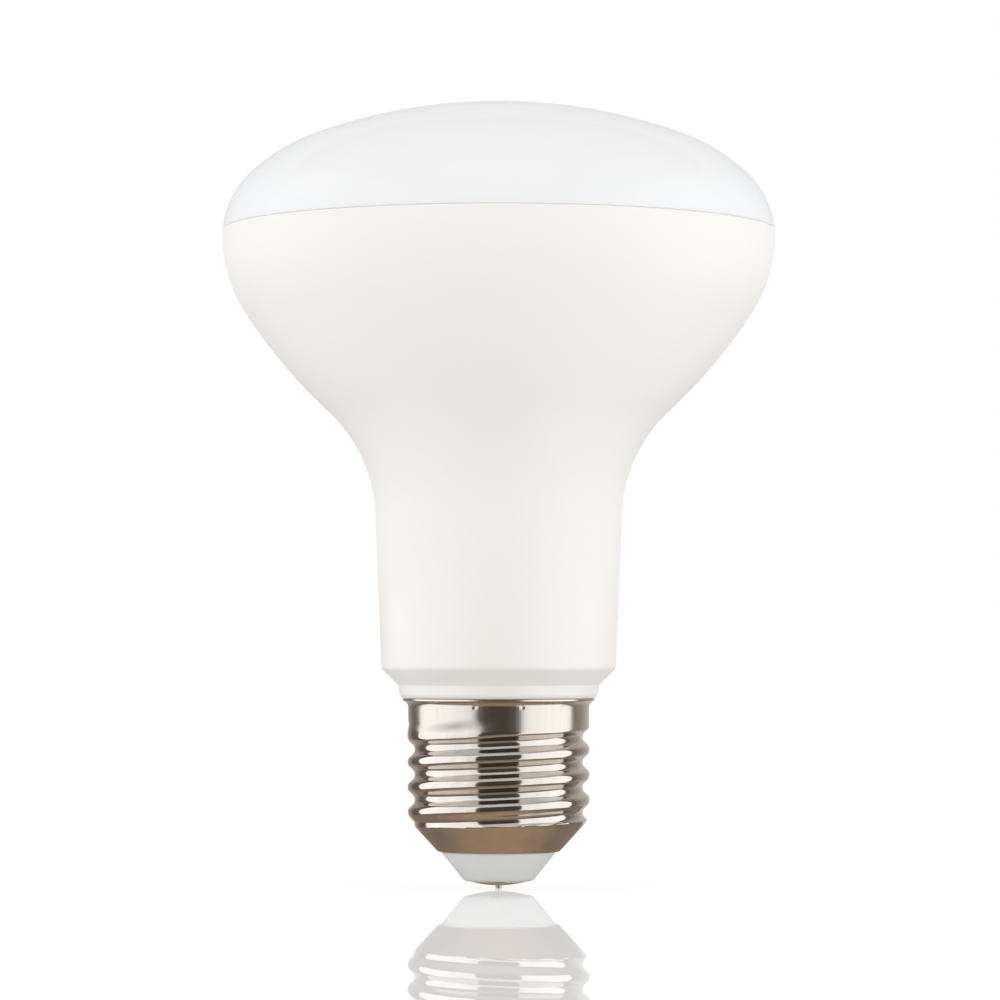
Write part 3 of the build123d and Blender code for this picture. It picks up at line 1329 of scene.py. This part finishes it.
@dataclass
class Screen(Card):
    """An upright card that follows a line on the floor."""

    line: Sequence[Point] = ()
    low: float = 0.0
    high: float = 1.0

    def shape(self) -> Shape:
        """Gives the vertices at both edges, and one face for each part of the line."""
        count = len(self.line)
        vertices = [(*point, height) for height in (self.low, self.high) for point in self.line]
        return vertices, [(part, part + 1, count + part + 1, count + part) for part in range(count - 1)]


@dataclass
class Disc(Card):
    """A round card that lies level, over or under the bulb or nearer to the camera."""

    radius: float = 1.0
    height: float = 0.0
    forward: float = 0.0

    def shape(self) -> Shape:
        """Gives the vertices of the rim, and one face."""
        rim = disc_rim(self.radius)
        return [(point.x, point.y - self.forward, self.height) for point in rim], [range(len(rim))]


@dataclass
class ProductCamera:
    """The camera, close above the floor and turned a little upwards, as in the photograph."""

    lens: float = 158.4
    sensor: float = 36.0
    distance: float = 0.636
    eye_height: float = 0.0343
    aside: float = 0.0002
    pitch: float = 1.9525

    def build(self) -> None:
        """Builds the camera and makes it the scene's own."""
        data = bpy.data.cameras.new("product_camera")
        data.lens = self.lens
        data.sensor_width = self.sensor
        camera = bpy.data.objects.new("product_camera", data)
        camera.location = (self.aside, -self.distance, self.eye_height)
        camera.rotation_euler = (math.radians(90 + self.pitch), 0.0, 0.0)
        bpy.context.scene.collection.objects.link(camera)
        bpy.context.scene.camera = camera


def around(azimuth: float, distance: float) -> Point:
    """Gives a place on the floor by its azimuth in degrees, from the camera's side round to the right."""
    return tuple(distance * heading(azimuth - 90))


def between(first: float, last: float, share: float) -> float:
    """Gives the value at a share of the way from the first to the last."""
    return first + (last - first) * share


def arc(start: float, end: float, distance: float) -> list[Point]:
    """Gives the line round the bulb from one azimuth to another, at a distance, in parts of a degree."""
    parts = max(1, round(abs(end - start)))
    return [around(between(start, end, part / parts), distance) for part in range(parts + 1)]


@dataclass
class MirroredRoom:
    """The room that the bulb mirrors: wall, skirting, ceiling, high lights, ground and a dark front."""

    reach: float = 1.0
    wall_color: Color = (0.74, 0.75, 0.775)
    wall_low: float = -0.03
    ceiling: float = 0.9
    ceiling_color: Color = (0.62, 0.62, 0.63)
    skirting_color: Color = (0.29, 0.235, 0.185)
    skirting_low: float = -0.6
    light_color: Color = (0.88, 0.875, 0.87)
    light_top: float = 0.88
    top_radius: float = 0.35
    top_forward: float = 0.55
    high_low: float = 0.38
    high_distance: float = 0.98
    high_half_angle: float = 26.0
    ground: tuple[tuple[float, Color], ...] = (
        (0.11, (0.47, 0.345, 0.24)),
        (0.17, (0.43, 0.32, 0.23)),
        (0.24, (0.37, 0.285, 0.21)),
        (0.9, (0.29, 0.235, 0.185)),
    )
    ground_height: float = -0.25
    ground_step: float = 1.0 * MM
    front_color: Color = (0.08, 0.07, 0.06)
    front_distance: float = 0.1
    front_half_width: float = 0.052
    front_low: float = -0.035
    front_high: float = 0.071

    def build(self) -> None:
        """Builds the room's cards, from the far ones to the nearest."""
        whole = arc(0.0, 360.0, self.reach)
        Screen("studio_wall", self.wall_color, whole, self.wall_low, self.ceiling).build()
        Screen("studio_skirting", self.skirting_color, whole, self.skirting_low, self.wall_low).build()
        Disc("studio_ceiling", self.ceiling_color, self.reach, self.ceiling).build()
        Disc("top_card", self.light_color, self.top_radius, self.light_top, self.top_forward).build()
        high = arc(-self.high_half_angle, self.high_half_angle, self.high_distance)
        Screen("high_card", self.light_color, high, self.high_low, self.light_top).build()
        for step, (radius, color) in enumerate(self.ground):
            height = self.ground_height - step * self.ground_step
            Disc(f"ground_card_{step}", color, radius, height).build()
        front = [(side.value * self.front_half_width, -self.front_distance) for side in Side]
        Screen("front_card", self.front_color, front, self.front_low, self.front_high).build()


@dataclass
class CapSide:
    """The cards at one side of the cap: lit ones, brighter to the back, then a dark gap that grows pale."""

    side: Side
    lit_low: float
    lit_end: float
    lit_level: float
    lit_dim: float
    gap_start: float
    gap_end: float
    gap_hold: float
    gap_color: Color
    lit_tint: Color = (1.0, 1.034, 1.077)
    lit_start: float = 24.0
    lit_high: float = 42 * MM
    lit_distance: float = 36 * MM
    lit_spread: float = 1.5
    lit_ease: float = 1.3
    rear_color: Color = (0.64, 0.612, 0.592)
    gap_low: float = 2.0 * MM
    gap_high: float = 45 * MM
    gap_distance: float = 34 * MM
    gap_ease: float = 0.8
    steps: int = 4

    def build(self) -> None:
        """Builds the lit cards and the gap cards from the front backwards."""
        for step in range(self.steps):
            behind = 1 - step / (self.steps - 1)
            level = self.lit_level * (1 - self.lit_dim * behind**self.lit_ease)
            tone = tuple(level * part for part in self.lit_tint)
            line = self.part_arc(self.lit_start, self.lit_end, self.lit_spread, step, self.lit_distance)
            Screen(self.card_name("lit", step), tone, line, self.lit_low, self.lit_high).build()
            pale = (step / self.steps) ** self.gap_ease
            tone = tuple(between(dark, light, pale) for dark, light in zip(self.gap_color, self.rear_color))
            line = self.part_arc(self.gap_start, self.gap_end, self.gap_hold, step, self.gap_distance)
            Screen(self.card_name("gap", step), tone, line, self.gap_low, self.gap_high).build()
        rear = arc(self.side.value * self.gap_end, self.side.value * 180, self.gap_distance)
        Screen(self.card_name("rear", 0), self.rear_color, rear, self.gap_low, self.gap_high).build()

    def card_name(self, use: str, step: int) -> str:
        """Gives a card's name from its use and its place in the row."""
        return f"{use}_card_{self.side.name.lower()}_{step}"

    def part_arc(self, start: float, end: float, spread: float, step: int, distance: float) -> list[Point]:
        """Gives one card's line round the cap.

        Args:
            start: The azimuth where the row of cards starts.
            end: The azimuth where it ends.
            spread: How the cards widen along the row, where 1 is equal widths.
            step: The card's place in the row.
            distance: The cards' distance from the axis.

        Returns:
            The points of the line.
        """
        edges = [between(start, end, (place / self.steps) ** spread) for place in (step, step + 1)]
        return arc(self.side.value * edges[0], self.side.value * edges[1], distance)


def build_cap_sides() -> None:
    """Builds the cards at both sides of the cap, which differ a little as the real lights did."""
    CapSide(
        Side.LEFT,
        lit_low=1.5 * MM,
        lit_end=106.0,
        lit_level=1.64,
        lit_dim=0.22,
        gap_start=101.0,
        gap_end=154.0,
        gap_hold=0.65,
        gap_color=(0.18, 0.147, 0.13),
    ).build()
    CapSide(
        Side.RIGHT,
        lit_low=-2.0 * MM,
        lit_end=92.0,
        lit_level=1.66,
        lit_dim=0.157,
        gap_start=88.0,
        gap_end=130.0,
        gap_hold=1.0,
        gap_color=(0.21, 0.17, 0.142),
    ).build()


def build_studio() -> None:
    """Builds the camera, the background, the floor, the lights, the mirrored room and the cap's cards."""
    ProductCamera().build()
    StudioWorld().build()
    StudioFloor().build()
    Softbox(Side.LEFT).build()
    Softbox(Side.RIGHT, back=0.05, top=0.3, board_brightness=0.74).build()
    MirroredRoom().build()
    build_cap_sides()


def build_bulb() -> None:
    """Builds the bulb's pieces at the heights that the frame gives."""
    effects = SharedEffects()
    shell_low, shell_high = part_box(Node.SCREW_SHELL.value)
    insulator_low, insulator_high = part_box(Node.INSULATOR.value)
    contact_low, contact_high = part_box(Node.CENTRE_CONTACT.value)
    housing_low, housing_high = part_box(Node.HOUSING.value)
    diffuser_low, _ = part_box(Node.DIFFUSER.value)
    opal = MouldedPlastic(
        effects,
        name="opal_plastic",
        color=(0.87, 0.87, 0.873),
        smooth=0.05,
        dull=0.07,
        ior=1.58,
        tone_drift=0.006,
        bump_depth=0.0005 * MM,
        grains=1500.0,
        depth_weight=0.15,
    )
    satin = MouldedPlastic(
        effects,
        name="satin_plastic",
        color=(0.912, 0.884, 0.848),
        smooth=0.42,
        dull=0.5,
        bump_depth=0.004 * MM,
        grains=4500.0,
    )
    nickel = NickelPlate(
        effects,
        name="nickel_plate",
        color=(0.59, 0.54, 0.485),
        tone_drift=0.08,
        smooth=0.09,
        dull=0.13,
        bump_depth=0.004 * MM,
    )
    grey = MouldedPlastic(
        effects,
        name="grey_insulation",
        color=(0.945, 0.955, 0.955),
        smooth=0.38,
        dull=0.46,
        bump_depth=0.003 * MM,
        grains=3500.0,
        tone_drift=0.015,
    )
    button = ContactMetal(
        effects,
        name="contact_metal",
        color=(0.84, 0.73, 0.62),
        tone_drift=0.05,
        smooth=0.25,
        dull=0.4,
        bump_depth=0.002 * MM,
    )
    ScrewShell(top=shell_high.z, end=shell_low.z).build(nickel)
    Insulator(base=insulator_low.z, top=insulator_high.z, waist=shell_low.z).build(grey)
    CentreContact(tip=contact_low.z, top=contact_high.z, seat=insulator_low.z).build(button)
    Housing(base=shell_high.z, seam=housing_high.z, spigot_end=housing_low.z).build(satin)
    Diffuser(seam=housing_high.z, spigot_end=diffuser_low.z).build(opal)


def main() -> None:
    """Loads the frame, builds the studio and the bulb."""
    logging.basicConfig(level=logging.INFO, format="%(message)s")
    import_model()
    bpy.context.scene.view_settings.view_transform = "Standard"
    build_studio()
    build_bulb()


if __name__ == "__main__":
    main()
